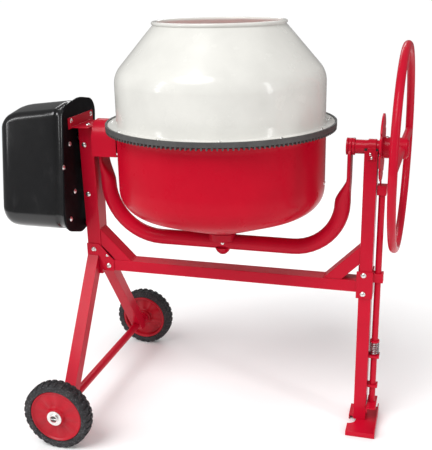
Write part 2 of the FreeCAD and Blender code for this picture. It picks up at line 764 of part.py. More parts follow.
def build_motor():
    y, z = dim.motor_y, dim.motor_z
    body = revolved("motor_body", ((9, 0), (40, 0), (46, 8, 4), (62, 12, 4), (62, 118, 4),
                                   (52, 128, 4), (9, 128)))
    node(body, -628, y, z, TO_X)
    node(fuse("motor_rotor", rod("rotor_spindle", 8.9, 166, (-634, y, z), "x"),
              rod("rotor_fan", 30, 3, (-637, y, z), "x")))
    build_pulley("motor_pulley", dim.small_pulley, (y, z), 8.9, "small")
    back = dim.plate_x - dim.plate_thick
    shelf = fuse("bracket_plates",
                 box("bracket_shelf", (-606, y - 28, z - 67), (back, y + 45, z - 63)),
                 box("bracket_flange", (back - 4, y - 28, z - 63), (back, y + 45, z - 30)))
    feet = [box("motor_foot%d" % n, (a, y - 28, z - 63), (a + 14, y + 30, z - 40))
            for n, a in enumerate((-606, -530))]
    clear = rod("bracket_clear", 62, 200, (-640, y, z), "x")
    node(cut("motor_bracket", fuse("bracket_whole", shelf, *feet), clear))
    can = rod("capacitor_can", 17, 70, (-600, y - 40, z + 88), "x")
    clip = cut("clip_solid", box("clip_block", (-575, y - 44, z + 56), (-560, y - 20, z + 76)),
               rod("clip_motor", 62, 60, (-600, y, z), "x"),
               rod("clip_can", 17, 90, (-610, y - 40, z + 88), "x"))
    node(group("capacitor", can, clip))


HOUSING = ((-98, 926, 35), (8, 942, 160), (116, 922, 45), (62, 560, 60), (-35, 540, 60),
           (-143, 575, 58))


def inset(corners, amount):
    """A convex outline moved inwards: each corner goes along its bisector."""
    result = []
    for number, (y, z, rounding) in enumerate(corners):
        here = Vector(y, z, 0)
        back = Vector(*corners[number - 1][:2], 0) - here
        ahead = Vector(*corners[(number + 1) % len(corners)][:2], 0) - here
        back.normalize()
        ahead.normalize()
        half = math.acos(back.dot(ahead)) / 2
        moved = here + (back + ahead).normalize() * (amount / math.sin(half))
        result.append((moved.x, moved.y, max(5, rounding - amount)))
    return result


def build_housing():
    back = dim.plate_x - dim.plate_thick
    plate = padded("plate_blank", "YZ_Plane", HOUSING, dim.plate_thick,
                   ((0, dim.tilt_z, 24),))
    place(plate, back, 0, 0)
    holes = [drill("plate_hole%d" % n, (dim.plate_x, y, z), "x", 4, 20)
             for n, (y, z) in enumerate(PLATE_BOLTS)]
    node(cut("housing_back_plate", plate, *holes))
    depth = back - dim.cover_left
    outside = cover_solid("cover_outside", 7, depth, COVER_ROUNDING)
    hollow = cover_solid("cover_hollow", 10, depth, COVER_ROUNDING - 3)
    place(hollow, 3, 0, 0)
    node(cut("housing_cover", outside, hollow), dim.cover_left, 0, 0)
    bolts = [dome_bolt("plate_bolt%d" % n, (dim.plate_x, y, z), "+x", 7.5)
             for n, (y, z) in enumerate(PLATE_BOLTS)]
    for n, y in enumerate((-58, 72)):
        bolts.append(dome_bolt("hanger_bolt%d" % n, (dim.plate_x + 3, y, dim.drive_top + 20), "+x", 7))
    bolts.append(dome_bolt("hanger_top_bolt", (-398, -16, dim.drive_top + 3), "+z", 8))
    node(group("housing_bolts", *bolts))


def cover_solid(name, amount, depth, rounding):
    """The cover's shape: it narrows to its outer end, whose edge is rounded."""
    sections = []
    for step in range(6):
        angle = math.radians(18 * step)
        sections.append((rounding * (1 - math.cos(angle)),
                         amount + rounding * (1 - math.sin(angle))))
    sections += [(70, amount), (depth.value, amount)]
    loft = doc.addObject("Part::Loft", name)
    outlines = []
    for number, (along, more) in enumerate(sections):
        near_end = max(0, 1 - along / 70) ** 2
        fall = 24 * (1 - along / depth.value) + 22 * near_end
        lift = 12 * near_end
        corners = [(y, z + lift if z < 740 else z - fall, r) for y, z, r in HOUSING]
        sketch = doc.addObject("Sketcher::SketchObject", "%s_section%d" % (name, number))
        outline(sketch, inset(corners, more))
        place(sketch, along, 0, 0, turn=Rotation(Vector(1, 1, 1), 120))
        outlines.append(sketch)
    loft.Sections = outlines
    loft.Solid = True
    loft.Ruled = True
    return loft


COVER_ROUNDING = 40
PLATE_BOLTS = ((-62, 674), (-72, 818), (-121, 760), (-100, 600), (66, 700), (97, 846))


def build_switch():
    """A sealed switch box on the housing's far side, with a recessed mains inlet."""
    x, z, face = -550, 770, 118
    depth = dim.plate_x - dim.plate_thick - dim.cover_left
    seat = cover_solid("switch_seat", 7, depth, COVER_ROUNDING)
    place(seat, dim.cover_left, 0, 0)
    base = cut("switch_base", box("switch_block", (x - 34, 50, z - 46), (x + 34, face, z + 46)),
               seat)
    wells = [drill("switch_well%d" % n, (x, face, zz), "y", 12.4, 20)
             for n, zz in enumerate((z + 20, z - 20))]
    middle = face - 14
    wells.append(rod("inlet_well", 11, 30, (x, middle, z - 60), "z"))
    for name, zz in (("start_button", z + 20), ("stop_button", z - 20)):
        node(group(name, rod(name + "_cap", 12, 9, (x, face - 5, zz), "y")))
    pins = [rod("inlet_pin%d" % n, 2, 9, (x + dx, middle + dy, z - 42), "z")
            for n, (dx, dy) in enumerate(((-5, -3), (5, -3), (0, 4)))]
    node(group("switch_box", cut("switch_case", base, *wells), *pins))


# ---------------------------------------------------------------- frame

def build_columns():
    left, right = dim.drive_left, dim.drive_right
    d, top_d, wall = dim.half_depth, dim.drive_half_top, dim.wall
    low, high = dim.drive_bottom, dim.drive_top
    outer = padded("drive_outside", "YZ_Plane", (
        (-d, low), (d, low), (d, 520), (top_d, high), (-top_d, high), (-d, 520)), right - left)
    place(outer, left, 0, 0)
    inner = padded("drive_inside", "YZ_Plane", (
        (wall - d, low - 1), (d - wall, low - 1), (d - wall, 520), (top_d - wall, high + 1),
        (wall - top_d, high + 1), (wall - d, 520)), right - left - 2 * wall)
    place(inner, left + wall, 0, 0)
    bush_hole = rod("drive_bush_hole", 26, 60, (left - 5, 0, dim.tilt_z), "x")
    node(cut("drive_column", outer, inner, bush_hole))
    bush = ring("drive_bush", 26, dim.left_trunnion + dim.running, right - left + 4,
                (left - 1, 0, dim.tilt_z), "x")
    tube = square_tube("column_tube", (dim.column_left, -d, dim.foot_height),
                       (dim.column_right, d, dim.column_top), wall, "z")
    saddle_hole = rod("column_saddle_hole", 24, 60, (dim.column_left - 5, 0, dim.tilt_z), "x")
    node(cut("operator_column", tube, saddle_hole))
    half = box("saddle_upper", (380, -40, dim.tilt_z), (450, 40, dim.tilt_z + 40))
    saddle = cut("saddle", ring("saddle_ring", 24, dim.right_trunnion + dim.running,
                                dim.column_right - dim.column_left,
                                (dim.column_left, 0, dim.tilt_z), "x"), half)
    node(group("trunnion_bushes", bush, saddle))


def build_strap():
    """Thin strap over the right trunnion, bolted to the column's front and back."""
    z, x0, x1 = dim.tilt_z, 407, 429
    d = dim.half_depth
    over = ring("strap_ring", 22, dim.right_trunnion + dim.running, x1 - x0, (x0, 0, z), "x")
    arch = cut("strap_arch", over, box("strap_lower", (x0 - 1, -40, z - 40), (x1 + 1, 40, z)))
    wings = [box("strap_wing%d" % n, (x0, a, z), (x1, b, z + 2.5))
             for n, (a, b) in enumerate(((-d - 2.5, -21.4), (21.4, d + 2.5)))]
    flanges = [box("strap_flange%d" % n, (x0, a, z - 30), (x1, a + 2.5, z + 2.5))
               for n, a in enumerate((-d - 2.5, d))]
    core = rod("strap_core", dim.right_trunnion + dim.running, 40, (x0 - 5, 0, z), "x")
    node(cut("trunnion_strap", fuse("strap_whole", arch, *wings + flanges), core))
    bolts = []
    for n, (x, zz) in enumerate(((418, z - 14), (418, z - 24))):
        bolts.append(dome_bolt("strap_front%d" % n, (x - 3 + 4 * n, -d - 2.5, zz), "-y", 4.2))
        bolts.append(dome_bolt("strap_back%d" % n, (x, d + 2.5, zz), "+y", 4.2))
    return bolts


def build_beam():
    d = dim.half_depth
    node(square_tube("cross_beam", (dim.drive_right, -d, dim.beam_low),
                     (dim.column_left, d, dim.beam_high), dim.wall, "x"))
    node(group("beam_braces", build_brace("left_brace", 1, -378, 548),
               build_brace("right_brace", -1, 399, 553)))


def build_brace(name, side, corner_x, top_z):
    """A square tube at 45 degrees between a column and the beam."""
    wide, deep, t = dim.brace_width, 2 * dim.half_depth, dim.wall
    tilt = Rotation(Vector(0, 1, 0), 45 * side)
    solid = doc.addObject("Part::Box", name + "_bar")
    bind(solid, Length=240, Width=deep - 4, Height=wide)
    hollow = doc.addObject("Part::Box", name + "_hollow")
    bind(hollow, Length=242, Width=deep - 4 - 2 * t, Height=wide - 2 * t)
    place(hollow, -1, t, t)
    tube = cut(name + "_tube", solid, hollow)
    run = -40 if side == 1 else -200
    shift = tilt.multVec(Vector(run, 0, -dim.brace_width.value))
    place(tube, corner_x + shift.x, 2 - dim.half_depth, top_z + shift.z, turn=tilt)
    keep = box(name + "_keep", (-378 if side == 1 else 200, -60, dim.beam_high),
               (-200 if side == 1 else 399, 60, 700))
    return common(name, tube, keep)


def build_gussets():
    d = dim.half_depth
    corners = ((-424, 502), (-384, 502), (-338, 452), (-338, 417), (-372, 417), (-384, 463),
               (-424, 463))
    plates = []
    for n, y in enumerate((-d, d + 2.6)):
        plate = padded("gusset%d" % n, "XZ_Plane", corners, 2.5)
        place(plate, 0, y - 0.05, 0)
        plates.append(plate)
    node(group("junction_plates", *plates))
    bolts = []
    for n, (x, z, radius) in enumerate(((-402, 483, 8), (-356, 434, 8), (-360, 466, 4.5))):
        bolts.append(dome_bolt("gusset_front%d" % n, (x, -d - 2.6, z), "-y", radius))
        bolts.append(dome_bolt("gusset_back%d" % n, (x, d + 2.6, z), "+y", radius))
    for n, z in enumerate((808, 658)):
        lean = 0.0263 * (z - 520)
        bolts.append(dome_bolt("drive_bolt%d" % n, (-407, -d - lean - 0.3, z), "-y", 8))
    for n, z in enumerate((471, 415)):
        bolts.append(dome_bolt("wrap_bolt%d" % n, (411, -d - 3, z), "-y", 8))
        bolts.append(dome_bolt("wrap_bolt_back%d" % n, (411, d + 3, z), "+y", 8))
    node(group("frame_bolts", *bolts + build_strap()))
    build_wrap()


def build_wrap():
    """A folded plate around the operator column that also holds the upper rod guide."""
    d = dim.half_depth
    low, high = 402, 482
    outside = box("wrap_outside", (392, -d - 3, low), (dim.column_right + 3, d + 3, high))
    column = box("wrap_column", (dim.column_left, -d, low - 1), (dim.column_right, d, high + 1))
    mouth = box("wrap_mouth", (380, -d, low - 1), (dim.column_left + 1, d, high + 1))
    shell = cut("wrap_shell", outside, column, mouth)
    tab = box("wrap_tab", (dim.column_right + 2.9, -16, 448), (464, 12, 474))
    hole = rod("wrap_rod_hole", dim.rod_radius + 0.5, 60, (dim.rod_x, -2, 430))
    node(cut("column_bracket", fuse("wrap_whole", shell, tab), hole))
    low_tab = box("low_guide_block", (dim.column_right, -17, 215), (464, 13, 222))
    foot_tab = box("foot_guide_block", (dim.column_right, -16, 120), (463, 12, 127))
    holes = rod("low_guide_hole", dim.rod_radius + 0.5, 160, (dim.rod_x, -2, 100))
    node(cut("rod_guides", group("guide_pair", low_tab, foot_tab), holes))


def build_legs():
    """Two square legs that lean out from the junction plates to the axle."""
    for name, side, top_x in (("front_leg", -1, -405), ("rear_leg", 1, -389)):
        start = Vector(top_x, side * 28.0, dim.leg_top_z.value)
        end = Vector(dim.axle_x.value, side * dim.leg_spread.value, dim.tyre_radius.value)
        along = end - start
        size = dim.leg_size
        bar = square_tube(name + "_tube", (-size / 2, -size / 2, -60),
                          (size / 2, size / 2, along.Length + 40), dim.wall, "z")
        lean = Rotation(Vector(1, 0, 0), Vector(), along, "ZXY")
        place(bar, top_x, side * 28, dim.leg_top_z, turn=lean)
        near, far = (28.2, 292) if side > 0 else (-292, -28.2)
        keep = box(name + "_keep", (-460, near, 82), (-340, far, 520))
        clipped = common(name + "_clipped", bar, keep)
        axle_hole = rod(name + "_axle_hole", dim.axle_radius, 800, (dim.axle_x, -400, 100), "y")
        node(cut(name, clipped, axle_hole))


def build_axle():
    y_end = dim.half_track + dim.tyre_width / 2 + 9
    inner = dim.half_track - dim.tyre_width / 2 - 3
    body = revolved("axle", ((0, 0 - y_end), (dim.journal, 0 - y_end), (dim.journal, 0 - inner),
                             (dim.axle_radius, 0 - inner), (dim.axle_radius, inner),
                             (dim.journal, inner), (dim.journal, y_end), (0, y_end)))
    node(body, dim.axle_x, 0, dim.tyre_radius, TO_Y)
    collars, washers, caps = [], [], []
    for side in (-1, 1):
        low = side * (inner - 9.5)
        start = low if side > 0 else low - 10
        collars.append(ring("axle_collar%d" % side, 20, dim.axle_radius, 10,
                            (dim.axle_x, start, dim.tyre_radius), "y"))
        face = side * (dim.half_track + 25.2)
        start = face if side > 0 else face - 1.8
        washers.append(ring("hub_washer%d" % side, 22, dim.journal, 1.8,
                            (dim.axle_x, start, dim.tyre_radius), "y"))
        start = face + 1.9 if side > 0 else face - 1.9 - 4.5
        caps.append(ring("axle_clip%d" % side, 13, dim.journal, 4.5,
                         (dim.axle_x, start, dim.tyre_radius), "y"))
    node(group("axle_collars", *collars))
    node(group("wheel_retainers", *washers + caps))


def build_wheels():
    half, rim = dim.tyre_width / 2, dim.disc_wheel_radius
    bore = dim.journal + dim.running
    for name, side in (("front", -1), ("rear", 1)):
        disc = revolved(name + "_wheel_disc", (
            (bore, -23), (24, -23), (24, -6), (rim - 12, -2), (rim - 9, 0 - half + 2),
            (rim, 0 - half + 2), (rim, half - 2), (rim - 9, half - 2), (rim - 12, 8), (24, 15),
            (24, 25), (bore, 25)))
        outward = TO_Y if side > 0 else Rotation(Vector(1, 0, 0), 90)
        node(disc, dim.axle_x, side * dim.half_track, dim.tyre_radius, outward)
        tyre = revolved(name + "_tyre", (
            (rim, 0 - half + 2), (rim + 3, 0 - half), (dim.tyre_radius, 0 - half, 7),
            (dim.tyre_radius, half, 7), (rim + 3, half), (rim, half - 2)))
        node(tyre, dim.axle_x, side * dim.half_track, dim.tyre_radius, outward)


def build_foot():
    x0, x1, y0, y1, top = (dim.foot_left, dim.foot_right, dim.foot_front, dim.foot_back,
                           dim.foot_height)
    outside = box("foot_outside", (x0, y0, 0), (x1, y1, top))
    inside = box("foot_inside", (x0 + 3, y0 + 3, -1), (x1 - 3, y1 - 3, top - 3))
    notch = rod("foot_notch", 23, 40, (x0, -28, -10))
    lip = box("foot_lip", (x1 - 3, y0, top - 1), (x1, y1, top + 12))
    node(cut("foot_plate", fuse("foot_whole", cut("foot_tray", outside, inside), lip), notch))


def build_hat():
    """The folded bracket that hangs the drive housing on the drive column's top."""
    z, top = dim.drive_top, dim.drive_top + 3
    face = dim.plate_x
    flange = box("hat_flange", (face, -76, z - 2), (face + 3, 86, z + 30))
    shelf = box("hat_shelf", (face, -62, z), (dim.drive_right + 2, 62, top))
    clear = rod("hat_trunnion_clear", 27, 40, (dim.drive_right - 5, 0, dim.tilt_z), "x")
    spacers = [rod("spacer%d" % zz, 9, dim.drive_left - face, (face, 0, zz), "x")
               for zz in (560, 740)]
    folded = cut("hat_folded", fuse("hat_whole", flange, shelf), clear)
    node(group("housing_hanger", folded, *spacers))


# ---------------------------------------------------------------- tilt lock

def build_lock():
    x, y, r = dim.rod_x, -2, dim.rod_radius
    tip = dim.tilt_z - dim.disc_radius - 1.2
    head = fuse("latch_whole",
                box("latch_block", (dim.column_right + 2, y - 13, 700), (x + 12, y + 15, tip - 10)),
                box("latch_tongue", (dim.disc_left + 0.4, -5, tip - 12),
                    (dim.disc_left + dim.disc_thick - 0.4, 5, tip)))
    node(cut("latch_head", head, rod("latch_rod_hole", r, 30, (x, y, 690))))
    node(group("lock_rod", rod("lock_rod_bar", r, 650, (x, y, 62)),
               ring("spring_collar", 13.5, r, 5, (x, y, 262))))
    node(group("pedal_tread", cut("pedal_solid",
                                  box("pedal_block", (x - 13, -44, 52), (x + 14, 32, 68)),
                                  box("pedal_under", (x - 10, -45, 51), (x + 15, 33, 64)),
                                  rod("pedal_rod_hole", r, 30, (x, y, 50)))))
    build_spring(x, y, 222.4, 261.6)


def build_spring(x, y, low, high):
    wire, turns, coil_radius = 1.6, 6, 11.8
    height = high - low - 2 * wire
    helix = Part.makeHelix(height / turns, height, coil_radius)
    section = Part.Wire(Part.makeCircle(wire, Vector(coil_radius, 0, 0), Vector(0, 1, 0)))
    spring = doc.addObject("Part::Feature", "lock_spring")
    spring.Shape = Part.Wire(helix).makePipeShell([section], True, True)
    node(spring, x, y, low + wire)


# ---------------------------------------------------------------- build and write

def check():
    doc.recompute()
    wrong = [item.Name for item in doc.Objects if {"Invalid", "Error"} & set(item.State)]
    for item in nodes:
        if item.Shape.isNull() or not item.Shape.isValid() or not item.Shape.Solids:
            wrong.append(item.Label + " has no valid solid")
    if wrong:
        raise RuntimeError("; ".join(wrong))


def main():
    for step in (build_drum, build_yoke, build_trunnions, build_pinion_guard, build_drum_hub,
                 build_lock_disc, build_handwheel, build_pinion, build_belt, build_motor,
                 build_housing, build_switch, build_columns, build_beam, build_gussets,
                 build_legs, build_axle, build_wheels, build_foot, build_hat, build_lock):
        step()
    check()
    os.makedirs("parts", exist_ok=True)
    for item in nodes:
        item.Shape.exportStep("parts/%s.step" % item.Label)
    print("%d sub-parts" % len(nodes))


main()
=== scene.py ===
import json
import math

import bmesh
import bpy
from mathutils import Matrix, Vector


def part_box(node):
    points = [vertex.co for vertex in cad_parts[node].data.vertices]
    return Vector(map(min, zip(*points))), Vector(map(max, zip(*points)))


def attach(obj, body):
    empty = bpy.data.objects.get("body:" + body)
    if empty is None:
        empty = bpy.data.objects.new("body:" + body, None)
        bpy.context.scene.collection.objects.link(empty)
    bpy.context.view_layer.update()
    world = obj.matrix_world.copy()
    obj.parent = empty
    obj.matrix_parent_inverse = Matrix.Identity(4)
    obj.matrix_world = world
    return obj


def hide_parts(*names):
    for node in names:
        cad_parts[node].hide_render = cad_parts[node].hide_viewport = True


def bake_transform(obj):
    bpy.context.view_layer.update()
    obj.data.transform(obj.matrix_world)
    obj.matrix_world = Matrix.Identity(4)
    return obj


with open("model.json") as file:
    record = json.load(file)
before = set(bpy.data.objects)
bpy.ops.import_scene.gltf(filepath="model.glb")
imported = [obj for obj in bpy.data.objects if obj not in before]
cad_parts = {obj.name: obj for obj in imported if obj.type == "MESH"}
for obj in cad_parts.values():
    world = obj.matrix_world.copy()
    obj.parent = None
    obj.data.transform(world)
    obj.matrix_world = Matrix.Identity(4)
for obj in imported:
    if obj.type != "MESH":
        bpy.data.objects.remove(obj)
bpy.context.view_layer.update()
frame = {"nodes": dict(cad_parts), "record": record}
NODES = frame["nodes"]

MM = 0.001
AXIS_X = 0.0715          # the drum's axis in the row frame, as in the CAD
TILT_Z = 828             # the trunnions' height, in millimetres
YOKE_R = 22.4            # the bent tube's radius, in millimetres
HANDWHEEL_X = 494        # the handwheel's plane, in millimetres from the drum's axis
HANDWHEEL_YAW = Matrix.Rotation(math.radians(-1.5), 3, "Z")    # out of square, as in the CAD


def at(x, y, z):
    """A point given in millimetres from the drum's axis, in the row frame."""
    return Vector((x * MM + AXIS_X, y * MM, z * MM))


# ---------------------------------------------------------------- materials

class Tree:
    """A material's node tree, with short ways to add nodes."""

    def __init__(self, name):
        self.material = bpy.data.materials.new(name)
        self.material.use_nodes = True
        self.nodes = self.material.node_tree.nodes
        self.links = self.material.node_tree.links
        self.shader = self.nodes["Principled BSDF"]
        self.place = self.nodes.new("ShaderNodeTexCoord").outputs["Object"]

    def noise(self, scale, detail=4.0, rough=0.55, stretch=None):
        node = self.nodes.new("ShaderNodeTexNoise")
        node.inputs["Scale"].default_value = scale
        node.inputs["Detail"].default_value = detail
        node.inputs["Roughness"].default_value = rough
        source = self.place
        if stretch:
            mapping = self.nodes.new("ShaderNodeMapping")
            mapping.inputs["Scale"].default_value = stretch
            self.links.new(source, mapping.inputs["Vector"])
            source = mapping.outputs["Vector"]
        self.links.new(source, node.inputs["Vector"])
        return node.outputs["Fac"]

    def cells(self, scale):
        node = self.nodes.new("ShaderNodeTexVoronoi")
        node.inputs["Scale"].default_value = scale
        self.links.new(self.place, node.inputs["Vector"])
        return node.outputs["Distance"]

    def ramp(self, source, low, high, first, last):
        """Maps a 0 to 1 value to a colour or, with plain numbers, to a grey value."""
        node = self.nodes.new("ShaderNodeValToRGB")
        node.color_ramp.elements[0].position = low
        node.color_ramp.elements[1].position = high
        for element, value in zip(node.color_ramp.elements, (first, last)):
            rgb = (value,) * 3 if isinstance(value, float) else value
            element.color = (*rgb, 1)
        self.links.new(source, node.inputs["Fac"])
        return node.outputs["Color"]

    def mix(self, factor, first, second):
        node = self.nodes.new("ShaderNodeMix")
        node.data_type = "RGBA"
        for socket, value in ((node.inputs["Factor"], factor), (node.inputs[6], first),
                              (node.inputs[7], second)):
            if isinstance(value, bpy.types.NodeSocket):
                self.links.new(value, socket)
            elif isinstance(value, float):
                socket.default_value = value
            else:
                socket.default_value = (*value, 1)
        return node.outputs[2]

    def bump(self, height, strength, distance):
        node = self.nodes.new("ShaderNodeBump")
        node.inputs["Strength"].default_value = strength
        node.inputs["Distance"].default_value = distance
        self.links.new(height, node.inputs["Height"])
        last = self.shader.inputs["Normal"]
        if last.is_linked:
            self.links.new(last.links[0].from_socket, node.inputs["Normal"])
        self.links.new(node.outputs["Normal"], last)

    def set(self, **values):
        for name, value in values.items():
            socket = self.shader.inputs[name.replace("_", " ")]
            if isinstance(value, bpy.types.NodeSocket):
                self.links.new(value, socket)
            elif isinstance(value, (int, float)):
                socket.default_value = value
            else:
                socket.default_value = (*value, 1)


def darker(colour, factor):
    """The colour times a factor; above 1 it gets lighter."""
    return tuple(c * factor for c in colour)


def paint(name, colour, rough, coat, peel=0.12, dust=0.04, gloss=0.1):
    """Sprayed enamel: faint clouding, orange peel and a little dust in its gloss."""
    t = Tree(name)
    cloud = t.noise(7.0, 5.0)
    base = t.ramp(cloud, 0.35, 0.7, darker(colour, 0.93), tuple(min(1, c * 1.05) for c in colour))
    specks = t.ramp(t.noise(230.0, 3.0), 0.66, 0.8, 0.0, dust)
    t.set(Base_Color=t.mix(specks, base, (0.8, 0.76, 0.72)),
          Roughness=t.ramp(t.noise(22.0, 6.0), 0.3, 0.75, rough * 0.85, rough * 1.25),
          Specular_IOR_Level=gloss, Coat_Weight=coat, Coat_Roughness=0.08)
    t.bump(t.noise(240.0, 2.0), peel, 0.00025)
    return t.material


def metal(name, colour, rough, grain=(1, 1, 1), scale=180.0):
    """Bare metal with fine streaks; grain stretches them along the machining."""
    t = Tree(name)
    streak = t.noise(scale, 4.0, 0.6, grain)
    t.set(Base_Color=t.ramp(streak, 0.3, 0.75, darker(colour, 0.82), colour), Metallic=1.0,
          Roughness=t.ramp(streak, 0.3, 0.75, rough * 0.8, rough * 1.3))
    t.bump(streak, 0.1, 0.0003)
    return t.material


def zinc():
    """Bright zinc plating with its crystal mottle."""
    t = Tree("zinc")
    crystals = t.cells(420.0)
    tint = t.ramp(crystals, 0.1, 0.7, (0.74, 0.74, 0.75), (0.9, 0.89, 0.86))
    t.set(Base_Color=tint, Metallic=1.0, Roughness=t.ramp(crystals, 0.0, 0.8, 0.22, 0.38))
    t.bump(t.noise(300.0), 0.08, 0.0003)
    return t.material


def cast(name, colour, rough):
    """Sand-cast iron: pitted and slightly oily."""
    t = Tree(name)
    pits = t.noise(260.0, 8.0, 0.7)
    patches = t.noise(30.0, 4.0)
    t.set(Base_Color=t.ramp(patches, 0.3, 0.75, darker(colour, 0.72), colour), Metallic=0.35,
          Roughness=t.ramp(pits, 0.3, 0.8, rough, rough * 1.35), Specular_IOR_Level=0.35)
    t.bump(pits, 0.5, 0.0009)
    t.bump(t.noise(60.0, 3.0), 0.25, 0.0015)
    return t.material


def plastic(name, colour, rough, coat=0.0, reflection_streaks=0.0):
    """Moulded plastic with a fine grain, and, where it is glossy, long faint pale streaks painted
    into its colour as reflections.
    """
    t = Tree(name)
    base = t.ramp(t.noise(9.0, 4.0), 0.35, 0.7, darker(colour, 0.85), darker(colour, 1.15))
    if reflection_streaks:
        # pale stretched streaks mixed into the colour: painted reflections
        painted_streaks = t.ramp(t.noise(26.0, 8.0, 0.7, (1, 3.5, 0.35)), 0.57, 0.74, 0.0, reflection_streaks)
        base = t.mix(painted_streaks, base, (0.2, 0.2, 0.205))
    t.set(Base_Color=base, Roughness=t.ramp(t.noise(35.0, 6.0), 0.3, 0.7, rough * 0.8, rough * 1.3),
          Specular_IOR_Level=0.3, Coat_Weight=coat, Coat_Roughness=0.18)
    t.bump(t.noise(900.0, 2.0), 0.12, 0.0003)
    return t.material


def rubber(name, colour, rough, dust, speckle=0.0):
    """Rubber with a dusty bloom, and pale grit caught in a tyre's tread."""
    t = Tree(name)
    worn = t.ramp(t.noise(45.0, 7.0, 0.65), 0.5, 0.8, 0.0, dust)
    base = t.ramp(t.noise(12.0, 3.0), 0.3, 0.7, darker(colour, 0.8), colour)
    base = t.mix(worn, base, (0.16, 0.15, 0.14))
    if speckle:
        grit = t.ramp(t.noise(330.0, 3.0, 0.7), 0.56, 0.7, 0.0, speckle)
        base = t.mix(grit, base, (0.3, 0.3, 0.33))
    t.set(Base_Color=base, Specular_IOR_Level=0.3,
          Roughness=t.ramp(t.noise(80.0, 4.0), 0.3, 0.7, rough * 0.9, rough * 1.15))
    t.bump(t.noise(520.0, 4.0), 0.35, 0.0006)
    return t.material


RED = (0.5, 0.0035, 0.022)
DRUM_RED = (0.5, 0.003, 0.018)
MATERIALS = {
    "frame_red": paint("frame_red", RED, 0.33, 0.12, 0.16),
    "drum_red": paint("drum_red", DRUM_RED, 0.3, 0.1, 0.08, 0.02, 0.08),
    "drum_white": paint("drum_white", (0.715, 0.708, 0.668), 0.24, 0.45, 0.06, 0.02, 0.3),
    "gear_iron": cast("gear_iron", (0.115, 0.114, 0.113), 0.46),
    "steel": metal("steel", (0.21, 0.205, 0.2), 0.5, (0.3, 1, 1)),
    "zinc": zinc(),
    "spring_steel": metal("spring_steel", (0.5, 0.49, 0.5), 0.28, scale=90.0),
    "pulley_aluminium": metal("pulley_aluminium", (0.8, 0.8, 0.81), 0.34, (0.2, 1, 1)),
    "motor_aluminium": cast("motor_aluminium", (0.5, 0.5, 0.51), 0.42),
    "belt_rubber": rubber("belt_rubber", (0.018, 0.018, 0.019), 0.6, 0.1),
    "seal_rubber": rubber("seal_rubber", (0.03, 0.03, 0.031), 0.6, 0.1),
    "capacitor_plastic": plastic("capacitor_plastic", (0.72, 0.72, 0.7), 0.4),
    "bush_plastic": plastic("bush_plastic", (0.03, 0.03, 0.032), 0.5),
    # its last number sets the strength of the painted reflection streaks
    "housing_black": plastic("housing_black", (0.0075, 0.0075, 0.0082), 0.2, 0.7, 0.07),
    "housing_plate": paint("housing_plate", (0.006, 0.006, 0.007), 0.5, 0.05, 0.2, 0.01, 0.04),
    "switch_black": plastic("switch_black", (0.022, 0.022, 0.024), 0.45),
    "button_green": plastic("button_green", (0.02, 0.3, 0.07), 0.3, 0.4),
    "button_red": plastic("button_red", (0.6, 0.015, 0.012), 0.3, 0.4),
    "tyre": rubber("tyre", (0.02, 0.019, 0.021), 0.6, 0.25, 0.6),
}
# near-black iron that paints the shade seen in the crown gear's tooth gaps
GAP_SHADE_IRON = cast("painted_shade_iron", (0.02, 0.019, 0.018), 0.5)
WHEEL_RED = plastic("wheel_red", (0.42, 0.004, 0.016), 0.42, 0.05)
SLOT_OF = {row["node"]: row["material_slot"] for row in frame["record"]["subparts"]}


def dress(obj, material):
    """Gives an object one material and smooth shading."""
    obj.data.materials.clear()
    obj.data.materials.append(material)
    for polygon in obj.data.polygons:
        polygon.use_smooth = True


# ---------------------------------------------------------------- mesh tools

def new_piece(name, verts, faces, material, body, slot=None, nodes=(), flat_angle=None):
    """A mesh piece that may stand for CAD nodes. It rides on body, or on none if body is empty."""
    mesh = bpy.data.meshes.new(name)
    mesh.from_pydata([tuple(v) for v in verts], [], faces)
    mesh.validate()
    b = bmesh.new()
    b.from_mesh(mesh)
    bmesh.ops.remove_doubles(b, verts=b.verts, dist=1e-6)
    bmesh.ops.recalc_face_normals(b, faces=b.faces)
    b.to_mesh(mesh)
    b.free()
    obj = bpy.data.objects.new(name, mesh)
    bpy.context.scene.collection.objects.link(obj)
    dress(obj, material)
    if flat_angle:
        mesh.set_sharp_from_angle(angle=math.radians(flat_angle))
    if body:
        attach(obj, body)
    if nodes:
        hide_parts(*nodes)
    return obj


def loft(rings, closed_path=False, cap=True):
    """Faces between rings of equally many points."""
    verts = [p for ring in rings for p in ring]
    count, faces = len(rings[0]), []
    rows = len(rings)
    for i in range(rows if closed_path else rows - 1):
        for k in range(count):
            m = (k + 1) % count
            n = (i + 1) % rows
            faces.append((i * count + k, i * count + m, n * count + m, n * count + k))
    if cap and not closed_path:
        faces.append(tuple(range(count))[::-1])
        faces.append(tuple((rows - 1) * count + k for k in range(count)))
    return verts, faces


def lathe(profile, segments, matrix, wave=None):
    """Turns a closed (radius, height) profile about local Z; wave may push a point along Z."""
    rings = []
    for k in range(segments):
        angle = 2 * math.pi * k / segments
        c, s = math.cos(angle), math.sin(angle)
        rings.append([matrix @ Vector((r * c, r * s, z + (wave(r, angle) if wave else 0)))
                      for r, z in profile])
    return loft(rings, closed_path=True)


def rounded(points, steps):
    """A closed outline whose corners are (x, y, radius), as points along their arcs."""
    result = []
    for i, (x, y, radius) in enumerate(points):
        here = Vector((x, y))
        back = (Vector(points[i - 1][:2]) - here).normalized()
        ahead = (Vector(points[(i + 1) % len(points)][:2]) - here).normalized()
        half = math.acos(max(-1, min(1, back.dot(ahead)))) / 2
        reach = radius / math.tan(half)
        centre = here + (back + ahead).normalized() * (radius / math.sin(half))
        first, last = here + back * reach - centre, here + ahead * reach - centre
        bend = first.angle_signed(last)
        for k in range(steps + 1):
            turn = Matrix.Rotation(-bend * k / steps, 2)
            result.append(centre + turn @ first)
    return result


